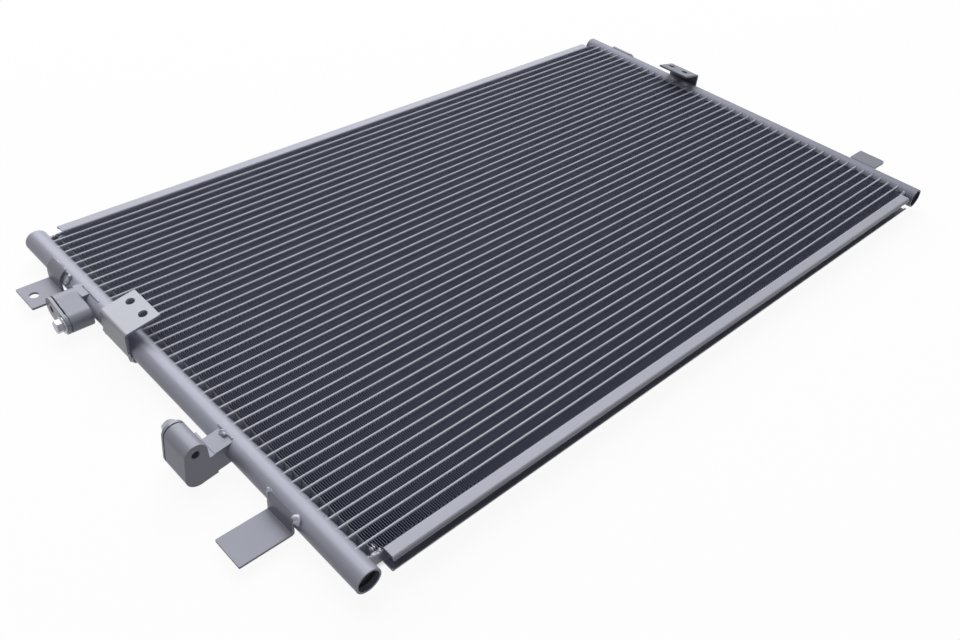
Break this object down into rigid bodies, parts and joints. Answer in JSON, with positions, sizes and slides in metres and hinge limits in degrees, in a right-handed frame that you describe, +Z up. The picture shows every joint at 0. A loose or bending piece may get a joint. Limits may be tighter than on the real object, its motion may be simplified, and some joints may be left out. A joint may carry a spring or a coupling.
{
  "type": "air conditioning condenser",
  "caption": "Flat parallel-flow heat exchanger: dark folded fins between flat tubes, two round header tubes, channel side plates, bent mounting brackets and two capped pipe blocks.",
  "frame": {"origin": "on the ground, under the middle of the whole outline, with the condenser lying flat", "axes": "+X along the flat tubes, from the header with the pipe blocks to the other; +Y along the headers, from the lower block towards the upper; +Z up through the core"},
  "size_m": [0.8246, 0.462, 0.0405],
  "materials": {
    "header_aluminium": "satin, brazed",
    "tube_aluminium": "satin, extruded",
    "plate_aluminium": "satin, rolled",
    "fin_aluminium": "dark, matt",
    "bracket_aluminium": "satin, pressed",
    "block_aluminium": "satin, machined",
    "cover_steel": "satin, plated",
    "bolt_zinc": "bright zinc",
    "seal_rubber": "matt black"
  },
  "bodies": {
    "root": {"header_left": "header_aluminium", "header_right": "header_aluminium", "header_closures": "header_aluminium", "side_plate_far": "plate_aluminium", "side_plate_near": "plate_aluminium", "fin_rows": "fin_aluminium", "bracket_two_hole_left": "bracket_aluminium", "bracket_two_hole_right": "bracket_aluminium", "bracket_hole_tab_left": "bracket_aluminium", "bracket_plain_tab_left": "bracket_aluminium", "bracket_plain_tab_right": "bracket_aluminium", "bracket_strap_right": "bracket_aluminium", "connector_upper": "block_aluminium", "connector_lower": "block_aluminium", "cover_plates": "cover_steel", "plug_seals": "seal_rubber", "cover_bolts": "bolt_zinc", "flat_tube_01": "tube_aluminium", "flat_tube_02": "tube_aluminium", "flat_tube_03": "tube_aluminium", "flat_tube_04": "tube_aluminium", "flat_tube_05": "tube_aluminium", "flat_tube_06": "tube_aluminium", "flat_tube_07": "tube_aluminium", "flat_tube_08": "tube_aluminium", "flat_tube_09": "tube_aluminium", "flat_tube_10": "tube_aluminium", "flat_tube_11": "tube_aluminium", "flat_tube_12": "tube_aluminium", "flat_tube_13": "tube_aluminium", "flat_tube_14": "tube_aluminium", "flat_tube_15": "tube_aluminium", "flat_tube_16": "tube_aluminium", "flat_tube_17": "tube_aluminium", "flat_tube_18": "tube_aluminium", "flat_tube_19": "tube_aluminium", "flat_tube_20": "tube_aluminium", "flat_tube_21": "tube_aluminium", "flat_tube_22": "tube_aluminium", "flat_tube_23": "tube_aluminium", "flat_tube_24": "tube_aluminium", "flat_tube_25": "tube_aluminium", "flat_tube_26": "tube_aluminium", "flat_tube_27": "tube_aluminium", "flat_tube_28": "tube_aluminium", "flat_tube_29": "tube_aluminium", "flat_tube_30": "tube_aluminium", "flat_tube_31": "tube_aluminium", "flat_tube_32": "tube_aluminium", "flat_tube_33": "tube_aluminium", "flat_tube_34": "tube_aluminium", "flat_tube_35": "tube_aluminium", "flat_tube_36": "tube_aluminium", "flat_tube_37": "tube_aluminium", "flat_tube_38": "tube_aluminium", "flat_tube_39": "tube_aluminium", "flat_tube_40": "tube_aluminium", "flat_tube_41": "tube_aluminium", "flat_tube_42": "tube_aluminium", "flat_tube_43": "tube_aluminium"}
  },
  "joints": []
}
